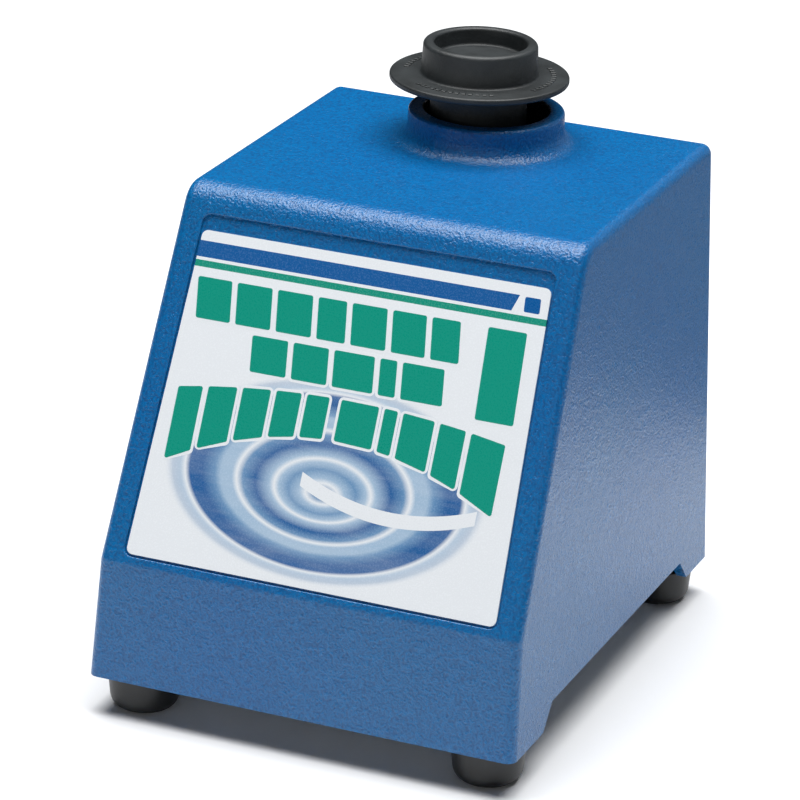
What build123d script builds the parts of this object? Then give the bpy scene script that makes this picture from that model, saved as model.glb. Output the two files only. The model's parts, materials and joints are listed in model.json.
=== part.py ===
from build123d import *
import os
from math import cos, hypot, pi, radians, sin

# Benchtop touch-action vortex mixer. Millimetres, +Z up, +Y to the rear.
# The origin is at floor level under the centre of the footprint.

# Housing
overall_height = 165.9
housing_width = 123.4
housing_depth = 155.6
foot_height = 11.0
top_plate_z = 137.7
band_top_z = 44.2
band_lean = 3.5
fold_setback = 48.9
back_lean = 5.8
side_lean = 4.1
wall = 3.0
fold_radius = 8.0
crease_radius = 2.5
inner_crease_radius = 1.5
back_top_radius = 3.2
corner_radius = 2.9
arch_rise = 6.6
arch_front_y = -56.0
arch_back_y = 58.9
arch_slant_front = 6.6
arch_slant_back = 5.9
front_y = -housing_depth / 2
back_y = housing_depth / 2
body_height = top_plate_z - foot_height

# Collar, shaft axis and orbit
shaft_y = 43.8
collar_top_z = 146.8
collar_radius = 21.8
collar_flare = 4.8
collar_back_reach = 25.3
collar_hole_radius = 17.5
orbit_radius = 2.4
orbit_phase = 198.4
press_travel = 2.0
head_x = orbit_radius * cos(radians(orbit_phase))
head_y = shaft_y + orbit_radius * sin(radians(orbit_phase))

# Label and its pocket on the sloped front
label_bottom_up = 2.8
label_top_down = 12.1
label_half_bottom = 53.1
label_half_top = 50.0
label_thickness = 0.5
label_corner = 1.8
pocket_depth = 0.8
pocket_top_margin = 4.4
pocket_side_margin = 0.7
pocket_corner = 2.6
pocket_rim_radius = 0.35

# Feet
foot_x = 50.2
foot_front_y = -65.8
foot_rear_y = 66.5
foot_top_radius = 10.2
foot_base_radius = 9.1
foot_round = 3.9
foot_boss_radius = 9.5
foot_boss_top_z = 25.0

# Cup
cup_rim_radius = 15.9
cup_wall_base_radius = 16.3
cup_recess_radius = 12.9
cup_recess_depth = 5.0
cup_flange_radius = 25.0
cup_flange_bottom_z = 154.9
cup_flange_top_z = 156.7
cup_neck_radius = 13.5
cup_neck_bottom_z = 141.9
cup_socket_radius = 9.3

# Mixing head
head_radius = 9.0
head_top_z = 150.9
head_lug_z = 129.0
head_lug_thickness = 3.0
head_lug_radius = 12.0
guide_pin_offset = 20.0
guide_pin_radius = 2.0
guide_pin_bottom_z = 118.0
guide_pin_tenon = 1.5
ring_groove_z = 131.5
ring_thickness = 1.0
ring_groove_radius = 7.0
head_crown = 3.3
bearing_outer_radius = 6.5
bearing_bore_radius = 3.0
bearing_width = 5.0
lower_bearing_z = 133.0
upper_bearing_z = 141.5
ball_count = 7
ball_radius = 1.0
ball_circle_radius = 4.75
race_clearance = 0.08

# Eccentric and counterweight
hub_bottom_z = 108.6
hub_top_z = 119.0
hub_radius = 8.5
stud_base_radius = 4.0
stud_top_z = 147.2
circlip_z = 146.5
circlip_thickness = 0.5
circlip_groove_radius = 2.6
set_screw_radius = 1.5
counterweight_radius = 18.5
counterweight_height = 6.0

# Anti-rotation guide plate
guide_plate_z = 122.0
guide_plate_thickness = 3.0
guide_plate_half_x = 37.0
guide_plate_half_y = 11.0
guide_screw_x = 32.0
guide_boss_radius = 4.0
guide_bush_radius = 6.5
guide_clearance = 0.35

# Motor
stack_bottom_z = 66.0
stack_top_z = 90.0
stack_half_x = 29.0
stack_front_y = -8.0
stack_back_y = shaft_y + 24.0
bore_radius = 16.3
pole_gap = 3.0
shading_leg_offsets = (9.0, 15.5)
shading_x = 16.6
shading_width = 3.2
shading_strip = 1.6
rotor_radius = 15.8
rotor_bottom_z = 67.0
rotor_top_z = 91.0
end_ring_thickness = 2.5
end_ring_outer = 15.3
end_ring_inner = 9.0
rotor_bars = 16
rotor_bar_circle = 14.4
rotor_bar_radius = 0.9
window_half_x = 15.5
window_front_y = 6.5
window_back_y = 22.0
shaft_radius = 3.0
shaft_bottom_z = 43.0
shaft_top_z = 117.0
running_clearance = 0.03
bracket_half_y = 9.0
bracket_sheet = 2.0
bracket_rise = 8.0
bush_radius = 6.0
upper_bush_z = 94.2
lower_bush_z = 53.0
bush_length = 8.0
bolt_radius = 1.6
main_bolt_x = 24.0
front_bolt_x = 22.0
front_bolt_y = -0.5
coil_build = 8.3
coil_half_x = 15.0
bobbin_wall = 1.0
bobbin_flange = 1.2
coil_tab_x = 8.0
coil_tab_z = 60.0

# Motor plate and its rubber mounts
plate_z = 104.0
plate_thickness = 2.0
plate_half_x = 49.0
plate_front_y = -19.0
plate_back_y = 68.5
post_x = 42.0
post_front_y = -12.0
post_back_y = 61.5
post_radius = 5.0
post_bottom_z = 108.5
grommet_flange_radius = 6.5
grommet_neck_radius = 4.5
grommet_seat_z = plate_z - 2.5

# Fan
fan_bottom_z = 44.5
fan_height = 7.0
fan_radius = 20.0
fan_hub_radius = 6.0
fan_blades = 9

# Bottom plate
bottom_plate_z = 18.5
bottom_plate_thickness = 1.5
bottom_plate_gap = 0.4
bottom_plate_top_z = bottom_plate_z + bottom_plate_thickness
lug_x = 54.2
lug_y = 25.0
lug_radius = 4.5
notch_clearance = 0.8
slot_length = 30.0
slot_width = 3.2
slot_x = 22.0
slot_pitch = 8.0
slot_first_y = -46.0
slot_rows = 6
earth_stud_x = 34.0
earth_stud_y = 2.0

# Touch action
plunger_flange_z = 37.9
plunger_flange_radius = 11.0
plunger_stem_radius = 3.0
thrust_ball_radius = 2.5
ball_gap = 0.02
plunger_bottom_z = 25.0
plunger_top_z = 41.6
plunger_boss_radius = 4.6
guide_barrel_radius = 5.2
guide_barrel_height = 12.0
guide_flange_thickness = 2.0
guide_flange_length = 28.0
guide_flange_width = 16.0
plunger_guide_screw_x = 10.6
base_screw_radius = 1.25
spring_radius = 7.2
spring_wire = 0.5
spring_turns = 5

# Miniature switch
switch_front_y = 11.5
switch_length = 19.8
switch_half_x = 3.2
switch_bottom_z = 20.8
switch_height = 10.2
lever_pivot_y = 13.5
lever_pivot_z = 31.9
lever_tilt = 6.0
lever_sheet = 0.6
roller_reach = 20.1
roller_lift = 1.7
roller_radius = 2.0
roller_pin_radius = 0.6
button_reach = 7.0
button_radius = 1.2
button_top_z = 32.1
lever_pin_radius = 0.5
switch_cross_ys = (16.0, 26.0)
switch_cross_z = 23.4
switch_cross_radius = 1.2
switch_bracket_sheet = 1.5
switch_foot_hole_x = 8.6
switch_foot_hole_ys = (16.0, 27.0)
tab_half_width = 1.6
tab_half_thickness = 0.25
tab_length = 4.5
switch_tab_zs = (22.8, 25.8, 28.8)

# Inlet
inlet_x = 29.0
inlet_z = 36.0
inlet_pocket_y = 73.4
inlet_flange_half_x = 25.0
inlet_flange_half_z = 11.2
inlet_flange_thickness = 2.2
inlet_body_half_x = 13.5
inlet_body_half_z = 9.9
inlet_body_depth = 16.0
inlet_cavity_half_x = 12.1
inlet_cavity_half_z = 8.2
inlet_cavity_depth = 16.0
inlet_screw_x = 20.0
inlet_fit_gap = 0.4
inlet_pad_margin = 3.4
inlet_pad_inner_y = 69.5
pin_half_width = 1.0
pin_half_height = 2.0
pin_recess = 4.6
tab_end_y = 50.5
lead_radius = 1.1
tag_thickness = 0.8


def block(low, high):
    """Box between two opposite corners."""
    size = [b - a for a, b in zip(low, high)]
    middle = [(a + b) / 2 for a, b in zip(low, high)]
    return Pos(*middle) * Box(*size)


def rod(x, y, z_low, z_high, radius):
    """Vertical cylinder."""
    return Pos(x, y, (z_low + z_high) / 2) * Cylinder(radius, z_high - z_low)


def through(x, y, radius):
    """Cutter for a vertical hole through everything."""
    return rod(x, y, -1, overall_height + 20, radius)


def tube(x, y, z_low, z_high, outer, inner):
    """Vertical tube."""
    return rod(x, y, z_low, z_high, outer) - rod(x, y, z_low - 1, z_high + 1, inner)


def crosswise(x, y, z, length, radius):
    """Cylinder along X."""
    return Pos(x, y, z) * Cylinder(radius, length, rotation=(0, 90, 0))


def fore_and_aft(x, y, z, length, radius):
    """Cylinder along Y."""
    return Pos(x, y, z) * Cylinder(radius, length, rotation=(90, 0, 0))


def round_tip(outline, r, z, radius):
    """Fillet the corner of a turned outline nearest to a radius and height."""
    tip = min(outline.vertices(), key=lambda v: hypot(v.X - r, v.Z - z))
    return fillet(tip, radius)


def turned(x, y, outline):
    """Solid of revolution about a vertical axis, from a face in the XZ plane."""
    return Pos(x, y, 0) * revolve(outline, Axis.Z, 360)


def section(*points):
    """Closed polygon in the XZ plane, from (radius, height) points."""
    return make_face(Polyline(*[(r, 0, z) for r, z in points], close=True))


def group(solids):
    """Separate solids kept together as one node."""
    return Compound(children=list(solids))


def lean_at(z, total_lean):
    """How far a drafted face has leaned in at height z."""
    return total_lean * (z - foot_height) / body_height


def side_outline(drop):
    """Side view of the casting, its bottom carried down by drop."""
    z = foot_height - drop
    front_slope = band_lean / (band_top_z - foot_height)
    bottom_front = front_y - drop * front_slope
    bottom_back = back_y - lean_at(z, back_lean)
    outline = Plane.YZ * make_face(Polyline(
        (bottom_front, z),
        (front_y + band_lean, band_top_z),
        (front_y + fold_setback, top_plate_z),
        (back_y - back_lean, top_plate_z),
        (bottom_back, z),
        close=True,
    ))
    return outline


def front_outline(drop):
    """Front view of the casting, its bottom carried down by drop."""
    z = foot_height - drop
    bottom = housing_width / 2 - lean_at(z, side_lean)
    top = housing_width / 2 - side_lean
    return Plane.XZ * make_face(Polyline(
        (-bottom, z), (bottom, z), (top, top_plate_z), (-top, top_plate_z), close=True,
    ))


def profile_corner(outline, y, z):
    """Vertex of a side outline nearest to a point."""
    return min(outline.vertices(), key=lambda v: hypot(v.Y - y, v.Z - z))


def rounded_side_outline(drop, inset, fold, crease, back_top):
    """Side outline moved in by inset, with its three upper corners rounded."""
    outline = side_outline(drop)
    if inset:
        outline = offset(outline, -inset, kind=Kind.INTERSECTION)
    corners = (
        (fold, front_y + fold_setback, top_plate_z),
        (crease, front_y + band_lean, band_top_z),
        (back_top, back_y - back_lean, top_plate_z),
    )
    for radius, y, z in corners:
        outline = fillet(profile_corner(outline, y, z), radius)
    return outline


def drafted_body(drop, inset, fold, crease, back_top):
    """Casting body: the side outline and the front outline, crossed."""
    side = rounded_side_outline(drop, inset, fold, crease, back_top)
    front = front_outline(drop)
    if inset:
        front = offset(front, -inset, kind=Kind.INTERSECTION)
    across = extrude(side, housing_width, both=True)
    along = extrude(front, housing_depth, both=True)
    return across & along


def slope_plane():
    """Plane of the sloped front, its Y axis running up the slope from the crease."""
    run = fold_setback - band_lean
    rise = top_plate_z - band_top_z
    return Plane(
        origin=(0, front_y + band_lean, band_top_z), x_dir=(1, 0, 0), z_dir=(0, -rise, run),
    )


def slope_length():
    return hypot(fold_setback - band_lean, top_plate_z - band_top_z)


def label_span():
    """Lower and upper edge of the label, up the slope from the crease."""
    return label_bottom_up, slope_length() - label_top_down


def label_half_width(up):
    """Half the width of the label, or of its sides carried on, at a distance up the slope."""
    low, high = label_span()
    return label_half_bottom + (label_half_top - label_half_bottom) * (up - low) / (high - low)


def slope_panel(low, high, side_margin, corner, base, thickness):
    """Plate on the sloped front that tapers with the label, wider by side_margin on each side."""
    half_low = label_half_width(low) + side_margin
    half_high = label_half_width(high) + side_margin
    face = make_face(Polyline(
        (-half_low, low), (half_low, low), (half_high, high), (-half_high, high), close=True,
    ))
    face = fillet(face.vertices(), corner)
    return slope_plane() * Pos(0, 0, base) * extrude(face, thickness)


def label_pocket():
    """Cutter for the shallow pocket that takes the label."""
    low, high = label_span()
    return slope_panel(low - pocket_side_margin, high + pocket_top_margin, pocket_side_margin,
                       pocket_corner, -pocket_depth, 5)


def pocket_rim(shell):
    """Edges of the label's pocket that lie in the sloped front."""
    low, high = label_span()
    rim = []
    for edge in shell.edges():
        place = slope_plane().to_local_coords(edge.center())
        in_face = abs(place.Z) < 0.01 and abs(place.X) < label_half_bottom + 2
        if in_face and low - 2 * pocket_side_margin < place.Y < high + pocket_top_margin + 1:
            rim.append(edge)
    return rim


def arch_cutter():
    """Wedge-ended slot across both side walls that raises their bottom edge."""
    top = foot_height + arch_rise
    below = 4.0
    slant_front = arch_slant_front / arch_rise * below
    slant_back = arch_slant_back / arch_rise * below
    outline = Plane.YZ * make_face(Polyline(
        (arch_front_y - slant_front, foot_height - below),
        (arch_front_y + arch_slant_front, top),
        (arch_back_y - arch_slant_back, top),
        (arch_back_y + slant_back, foot_height - below),
        close=True,
    ))
    return extrude(outline, housing_width, both=True)


def collar_body():
    """Turned collar on the top plate: flared base, rounded lip, flare trimmed at the rear edge."""
    foot_radius = collar_radius + 0.2
    outline = section(
        (collar_hole_radius, top_plate_z - wall),
        (collar_hole_radius, collar_top_z),
        (collar_radius, collar_top_z),
        (foot_radius, top_plate_z),
        (foot_radius + collar_flare, top_plate_z),
        (foot_radius + collar_flare, top_plate_z - wall),
    )
    outline = round_tip(outline, collar_hole_radius, collar_top_z, 0.5)
    outline = round_tip(outline, collar_radius, collar_top_z, 1.0)
    outline = round_tip(outline, foot_radius, top_plate_z, collar_flare - 0.05)
    collar = turned(0, shaft_y, outline)
    behind = shaft_y + collar_back_reach
    beyond = (collar_radius, back_y, collar_top_z)
    return collar - block((-collar_radius, behind, top_plate_z - wall - 1), beyond)


def foot_places():
    """Name and centre of each rubber foot."""
    return {
        "foot_front_left": (-foot_x, foot_front_y),
        "foot_front_right": (foot_x, foot_front_y),
        "foot_rear_left": (-foot_x, foot_rear_y),
        "foot_rear_right": (foot_x, foot_rear_y),
    }


def post_places():
    """Centres of the four posts that carry the motor plate."""
    return [(sx * post_x, y) for sx in (-1, 1) for y in (post_front_y, post_back_y)]


def lug_places():
    return [(sx * lug_x, sy * lug_y) for sx in (-1, 1) for sy in (-1, 1)]


def inlet_block(half_x, half_z, y_low, y_high):
    """Box centred on the inlet, seen from behind."""
    return block((inlet_x - half_x, y_low, inlet_z - half_z), (inlet_x + half_x, y_high, inlet_z + half_z))


def inlet_pocket():
    """Shallow pocket, cut-out and screw holes in the rear wall for the inlet."""
    pocket = inlet_block(inlet_flange_half_x + inlet_fit_gap, inlet_flange_half_z + inlet_fit_gap,
                         inlet_pocket_y, back_y + 5)
    pocket = fillet(pocket.edges().filter_by(Axis.Y), 3.4)
    cutout = inlet_block(inlet_body_half_x + inlet_fit_gap, inlet_body_half_z + inlet_fit_gap,
                         inlet_pad_inner_y - 1, back_y)
    cutter = pocket + cutout
    for sx in (-1, 1):
        cutter += fore_and_aft(inlet_x + sx * inlet_screw_x, inlet_pocket_y, inlet_z, 16, 1.5)
    return cutter


def inner_bosses():
    """Foot bosses, posts, lugs and the inlet pad inside the casting."""
    bosses = [rod(x, y, foot_height, foot_boss_top_z, foot_boss_radius) for x, y in foot_places().values()]
    bosses += [rod(x, y, post_bottom_z, top_plate_z - 1, post_radius) for x, y in post_places()]
    bosses += [rod(x, y, bottom_plate_top_z, bottom_plate_top_z + 12, lug_radius) for x, y in lug_places()]
    guide_boss_z = guide_plate_z + guide_plate_thickness
    for sx in (-1, 1):
        bosses.append(rod(sx * guide_screw_x, shaft_y, guide_boss_z, top_plate_z - 1, guide_boss_radius))
    pad_half_x = inlet_flange_half_x + inlet_pad_margin
    pad_half_z = inlet_flange_half_z + inlet_pad_margin
    bosses.append(inlet_block(pad_half_x, pad_half_z, inlet_pad_inner_y, back_y))
    return bosses


def tapped_holes():
    """Blind holes for the casting's screws."""
    holes = [rod(x, y, foot_height - 1, foot_boss_top_z - 2, 2.0) for x, y in foot_places().values()]
    holes += [rod(x, y, post_bottom_z - 1, post_bottom_z + 14, 2.0) for x, y in post_places()]
    holes += [rod(x, y, bottom_plate_top_z - 1, bottom_plate_top_z + 9, 1.5) for x, y in lug_places()]
    for sx in (-1, 1):
        holes.append(rod(sx * guide_screw_x, shaft_y, guide_plate_z, guide_plate_z + 11, 1.5))
    return holes


def housing():
    """Cast aluminium housing: shell, collar, bosses, posts and the inlet pad."""
    shell = drafted_body(0, 0, fold_radius, crease_radius, back_top_radius)
    rim = [e for e in shell.edges() if e.center().Z > foot_height + 1 and abs(e.center().X) > 50]
    shell = fillet(rim, corner_radius)
    shell -= drafted_body(14, wall, fold_radius - wall, inner_crease_radius, 1.0)
    shell -= arch_cutter()
    limits = drafted_body(0, 0.6, fold_radius, crease_radius, back_top_radius)
    for boss in inner_bosses():
        shell += boss & limits
    shell += collar_body()
    shell -= rod(0, shaft_y, top_plate_z - wall - 1, collar_top_z + 1, collar_hole_radius)
    shell -= label_pocket()
    shell = fillet(pocket_rim(shell), pocket_rim_radius)
    shell -= inlet_pocket()
    for hole in tapped_holes():
        shell -= hole
    return shell


def front_label():
    """Printed overlay on the floor of its pocket."""
    low, high = label_span()
    return slope_panel(low, high, 0, label_corner, -pocket_depth, label_thickness)


def vent_slots():
    """Rows of ventilation slots in the bottom plate."""
    slots = []
    for row in range(slot_rows):
        for sx in (-1, 1):
            place = Pos(sx * slot_x, slot_first_y + row * slot_pitch, bottom_plate_z)
            slots.append(place * extrude(SlotOverall(slot_length, slot_width), 5, both=True))
    return slots


def guide_screw_places():
    """Screws that hold the plunger guide."""
    return [(-plunger_guide_screw_x, shaft_y), (plunger_guide_screw_x, shaft_y)]


def bracket_screw_places():
    """Screws that hold the switch bracket."""
    return [(switch_foot_hole_x, y) for y in switch_foot_hole_ys]


def bottom_plate():
    """Steel bottom plate with notched corners, vent slots and screw holes."""
    half_width = housing_width / 2 - lean_at(bottom_plate_top_z, side_lean) - wall - bottom_plate_gap
    front = front_y + wall + 1.2
    back = back_y - wall - 0.9
    plate = block((-half_width, front, bottom_plate_z), (half_width, back, bottom_plate_top_z))
    notch = foot_boss_radius + notch_clearance
    notch_x = half_width - (foot_x - notch)
    for corner_x in (-half_width, half_width):
        plate -= Pos(corner_x, front, bottom_plate_z) * Box(2 * notch_x, 2 * (foot_front_y + notch - front), 5)
        plate -= Pos(corner_x, back, bottom_plate_z) * Box(2 * notch_x, 2 * (back - foot_rear_y + notch), 5)
    for slot in vent_slots():
        plate -= slot
    for x, y in lug_places():
        plate -= through(x, y, 1.6)
    for x, y in guide_screw_places() + bracket_screw_places():
        plate -= through(x, y, base_screw_radius)
    plate -= through(0, shaft_y, plunger_stem_radius + 0.4)
    return plate - through(earth_stud_x, earth_stud_y, 2.0)


def foot(x, y):
    """Rubber bumper foot, tapered, with a rounded base and a deep screw recess."""
    recess_radius = 3.7
    outline = section(
        (recess_radius, 0), (foot_base_radius, 0), (foot_top_radius, foot_height), (2.1, foot_height),
        (2.1, 5.5), (recess_radius, 5.5),
    )
    return turned(x, y, round_tip(outline, foot_base_radius, 0, foot_round))


def pan_screw(x, y, seat_z, length, radius, head_radius, head_height, upwards=True):
    """Pan-head screw: its head lies below the seat when the screw points up."""
    way = 1 if upwards else -1
    z_tip = seat_z + way * length
    z_head = seat_z - way * head_height
    shank = rod(x, y, min(seat_z, z_tip), max(seat_z, z_tip), radius)
    head = rod(x, y, min(seat_z, z_head), max(seat_z, z_head), head_radius)
    rim_z = z_head
    rim = [e for e in head.edges() if abs(e.center().Z - rim_z) < 0.01 and e.geom_type == GeomType.CIRCLE]
    head = fillet(rim, head_height * 0.4)
    slot_z = z_head + way * head_height * 0.3
    cross = Pos(x, y, slot_z) * (Box(head_radius, 0.7, head_height) + Box(0.7, head_radius, head_height))
    return shank + head - cross


def foot_screws():
    return group(pan_screw(x, y, 5.5, 15, 2.0, 3.4, 2.4) for x, y in foot_places().values())


def m3_screws():
    """Identical M3 screws of the bottom plate and the guide plate."""
    screws = []
    for x, y in lug_places():
        screws.append(pan_screw(x, y, bottom_plate_z, 8, 1.5, 2.8, 2.0))
    for sx in (-1, 1):
        screws.append(pan_screw(sx * guide_screw_x, shaft_y, guide_plate_z, 10, 1.5, 2.8, 2.0))
    return group(screws)


def base_screws():
    """Identical short screws that hold the plunger guide and the switch bracket."""
    screws = []
    for x, y in guide_screw_places():
        seat = bottom_plate_top_z + guide_flange_thickness
        screws.append(pan_screw(x, y, seat, 5, base_screw_radius, 2.3, 1.5, upwards=False))
    for x, y in bracket_screw_places():
        seat = bottom_plate_top_z + switch_bracket_sheet
        screws.append(pan_screw(x, y, seat, 5, base_screw_radius, 2.3, 1.5, upwards=False))
    return group(screws)


def mixing_cup():
    """Rubber pop-off cup: tube recess, thin flange and a neck that sockets on the head."""
    recess_z = overall_height - cup_recess_depth
    outline = section(
        (0, recess_z),
        (cup_recess_radius, recess_z),
        (cup_recess_radius, overall_height),
        (cup_rim_radius, overall_height),
        (cup_wall_base_radius, cup_flange_top_z),
        (cup_flange_radius, cup_flange_top_z),
        (cup_flange_radius, cup_flange_bottom_z),
        (cup_neck_radius, cup_flange_bottom_z),
        (cup_neck_radius, cup_neck_bottom_z),
        (cup_socket_radius, cup_neck_bottom_z),
        (cup_socket_radius, head_top_z),
        (0, head_top_z),
    )
    rounds = (
        (cup_recess_radius, overall_height, 0.9),
        (cup_rim_radius, overall_height, 1.3),
        (cup_recess_radius, recess_z, 0.8),
        (cup_wall_base_radius, cup_flange_top_z, 0.6),
        (cup_flange_radius, cup_flange_top_z, 0.6),
        (cup_flange_radius, cup_flange_bottom_z, 0.6),
        (cup_neck_radius, cup_flange_bottom_z, 1.5),
        (cup_neck_radius, cup_neck_bottom_z, 1.0),
    )
    for r, z, radius in rounds:
        outline = round_tip(outline, r, z, radius)
    return turned(head_x, head_y, outline)


def head_hub():
    """Head: closed bearing housing with a cross lug for the guide pins."""
    lug_top = head_lug_z + head_lug_thickness
    hub = rod(head_x, head_y, head_lug_z, head_top_z, head_radius)
    hub = chamfer(hub.edges().group_by(Axis.Z)[-1], 1.0)
    hub += rod(head_x, head_y, head_lug_z, lug_top, head_lug_radius)
    arm = extrude(SlotCenterToCenter(2 * guide_pin_offset, 8.0), head_lug_thickness)
    hub += Pos(head_x, head_y, head_lug_z) * arm
    hub -= rod(head_x, head_y, head_lug_z - 1, head_top_z - head_crown, bearing_outer_radius)
    hub -= rod(head_x, head_y, ring_groove_z, ring_groove_z + ring_thickness, ring_groove_radius)
    for sx in (-1, 1):
        hub -= rod(head_x + sx * guide_pin_offset, head_y, head_lug_z - 1, lug_top + 1, guide_pin_tenon)
    return hub


def guide_pins():
    """Two shouldered steel pins riveted into the head's lug."""
    pins = []
    for sx in (-1, 1):
        x = head_x + sx * guide_pin_offset
        pin = rod(x, head_y, guide_pin_bottom_z, head_lug_z, guide_pin_radius)
        pin = fillet(pin.edges().group_by(Axis.Z)[0], 0.5)
        pins.append(pin + rod(x, head_y, head_lug_z, head_lug_z + head_lug_thickness, guide_pin_tenon))
    return group(pins)


def bearing_ring(z, inner, outer):
    """One bearing ring with its ball groove."""
    outline = section((inner, z), (outer, z), (outer, z + bearing_width), (inner, z + bearing_width))
    groove = Plane.XZ * Circle(ball_radius + race_clearance)
    groove = Pos(ball_circle_radius, 0, z + bearing_width / 2) * groove
    return turned(head_x, head_y, outline - groove)


def bearing_heights():
    return lower_bearing_z, upper_bearing_z


def bearing_inner_rings():
    return group(bearing_ring(z, bearing_bore_radius, 4.1) for z in bearing_heights())


def bearing_outer_rings():
    return group(bearing_ring(z, 5.4, bearing_outer_radius) for z in bearing_heights())


def bearing_balls():
    balls = []
    for z in bearing_heights():
        for index in range(ball_count):
            angle = 2 * pi * index / ball_count
            x = head_x + ball_circle_radius * cos(angle)
            y = head_y + ball_circle_radius * sin(angle)
            balls.append(Pos(x, y, z + bearing_width / 2) * Sphere(ball_radius))
    return group(balls)


def bearing_spacer():
    return tube(head_x, head_y, lower_bearing_z + bearing_width, upper_bearing_z, bearing_outer_radius, 5.7)


def split_ring(z_low, z_high, outer, inner, gap):
    """Retaining ring with an opening."""
    ring = tube(head_x, head_y, z_low, z_high, outer, inner)
    low = (head_x, head_y - gap / 2, z_low - 1)
    high = (head_x + outer + 1, head_y + gap / 2, z_high + 1)
    return ring - block(low, high)


def head_retaining_ring():
    return split_ring(ring_groove_z, ring_groove_z + ring_thickness, ring_groove_radius, 5.6, 4.0)


def stud_circlip():
    return split_ring(circlip_z, circlip_z + circlip_thickness, 4.3, circlip_groove_radius, 2.4)


def eccentric_hub():
    """Hub on the shaft with the offset stud that carries the head."""
    hub = rod(0, shaft_y, hub_bottom_z, hub_top_z, hub_radius)
    hub = chamfer(hub.edges().group_by(Axis.Z)[-1], 0.8)
    hub += rod(head_x, head_y, hub_top_z, lower_bearing_z, stud_base_radius)
    hub += rod(head_x, head_y, lower_bearing_z, stud_top_z, bearing_bore_radius)
    hub -= tube(head_x, head_y, circlip_z, circlip_z + circlip_thickness, 5.0, circlip_groove_radius)
    hub -= rod(0, shaft_y, hub_bottom_z - 1, shaft_top_z, shaft_radius)
    hub -= set_screw_hole(hub_radius + 1)
    return hub


def radial(angle, z, start, end, radius):
    """Horizontal rod from the shaft axis outwards."""
    middle = (start + end) / 2
    turned_rod = Cylinder(radius, end - start, rotation=(0, 90, 0))
    return Pos(0, shaft_y, z) * Rot(0, 0, angle) * Pos(middle, 0, 0) * turned_rod


def set_screw_hole(reach):
    z = hub_bottom_z + counterweight_height / 2
    return radial(orbit_phase + 180, z, shaft_radius, reach, set_screw_radius)


def counterweight():
    """Half ring on the side away from the stud."""
    top = hub_bottom_z + counterweight_height
    ring = tube(0, shaft_y, hub_bottom_z, top, counterweight_radius, hub_radius)
    half = block((0, -30, hub_bottom_z), (30, 30, top))
    ring &= Pos(0, shaft_y, 0) * Rot(0, 0, orbit_phase + 180) * half
    return ring - set_screw_hole(counterweight_radius + 1)


def set_screw():
    """Socket set screw through the counterweight and hub on to the shaft."""
    z = hub_bottom_z + counterweight_height / 2
    angle = orbit_phase + 180
    screw = radial(angle, z, shaft_radius, 14.0, set_screw_radius)
    return screw - radial(angle, z, 12.0, 15.0, 0.7)


def motor_shaft():
    shaft = rod(0, shaft_y, shaft_bottom_z, shaft_top_z, shaft_radius)
    return chamfer(shaft.edges().filter_by(GeomType.CIRCLE), 0.4)


def rotor_core():
    """Laminated rotor with straight bar holes near its rim."""
    core = tube(0, shaft_y, rotor_bottom_z, rotor_top_z, rotor_radius, shaft_radius)
    for index in range(rotor_bars):
        angle = 2 * pi * index / rotor_bars
        x = rotor_bar_circle * cos(angle)
        y = shaft_y + rotor_bar_circle * sin(angle)
        core -= through(x, y, rotor_bar_radius)
    return core


def rotor_end_rings():
    low = tube(0, shaft_y, rotor_bottom_z - end_ring_thickness, rotor_bottom_z, end_ring_outer, end_ring_inner)
    high = tube(0, shaft_y, rotor_top_z, rotor_top_z + end_ring_thickness, end_ring_outer, end_ring_inner)
    return group([low, high])


def thrust_washer():
    return tube(0, shaft_y, rotor_top_z, upper_bush_z, 5.5, shaft_radius)


def cooling_fan():
    """Moulded radial fan: hub, disc and curved blades."""
    top = fan_bottom_z + fan_height
    fan = rod(0, shaft_y, fan_bottom_z, top + 0.8, fan_hub_radius)
    fan += rod(0, shaft_y, fan_bottom_z, fan_bottom_z + 1.2, fan_radius)
    for index in range(fan_blades):
        blade = tube(12.3, 0, fan_bottom_z + 1.0, top, 8.0, 6.8)
        blade &= block((5.0, -9, fan_bottom_z), (19.8, 0, top))
        fan += Pos(0, shaft_y, 0) * Rot(0, 0, 360 / fan_blades * index) * blade
    return fan - through(0, shaft_y, shaft_radius)


def bolt_places():
    """Through bolts of the stack, those beside the bore first."""
    return [(-main_bolt_x, shaft_y), (main_bolt_x, shaft_y),
            (-front_bolt_x, front_bolt_y), (front_bolt_x, front_bolt_y)]


def stator_stack():
    """C-frame lamination stack: bore, coil limb, window and pole slots."""
    low, high = stack_bottom_z, stack_top_z
    stack = block((-stack_half_x, stack_front_y, low), (stack_half_x, stack_back_y, high))
    stack = fillet(stack.edges().filter_by(Axis.Z), 4)
    stack -= through(0, shaft_y, bore_radius)
    stack -= block((-window_half_x, window_front_y, low - 1), (window_half_x, window_back_y, high + 1))
    bridge_y = stack_back_y - 3
    stack -= block((-pole_gap / 2, window_front_y, low - 1), (pole_gap / 2, bridge_y, high + 1))
    for side in (-1, 1):
        stack -= shading_slots(side)
    for x, y in bolt_places():
        stack -= through(x, y, bolt_radius)
    return stack


def shading_legs(side):
    """Y of a shading ring's two legs: the one open to the bore first."""
    return [shaft_y - side * offset_y for offset_y in shading_leg_offsets]


def shading_slots(side):
    """Slots in one pole for the legs of its shading ring."""
    near_y, far_y = shading_legs(side)
    half_y = shading_strip / 2 + 0.1
    high = stack_top_z + 1
    low = stack_bottom_z - 1
    open_slot = Pos(side * 15.3, near_y, (low + high) / 2) * Box(6.6, 2 * half_y, high - low)
    far_slot = Pos(side * shading_x, far_y, (low + high) / 2) * Box(shading_width + 0.2, 2 * half_y, high - low)
    return open_slot + far_slot


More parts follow.
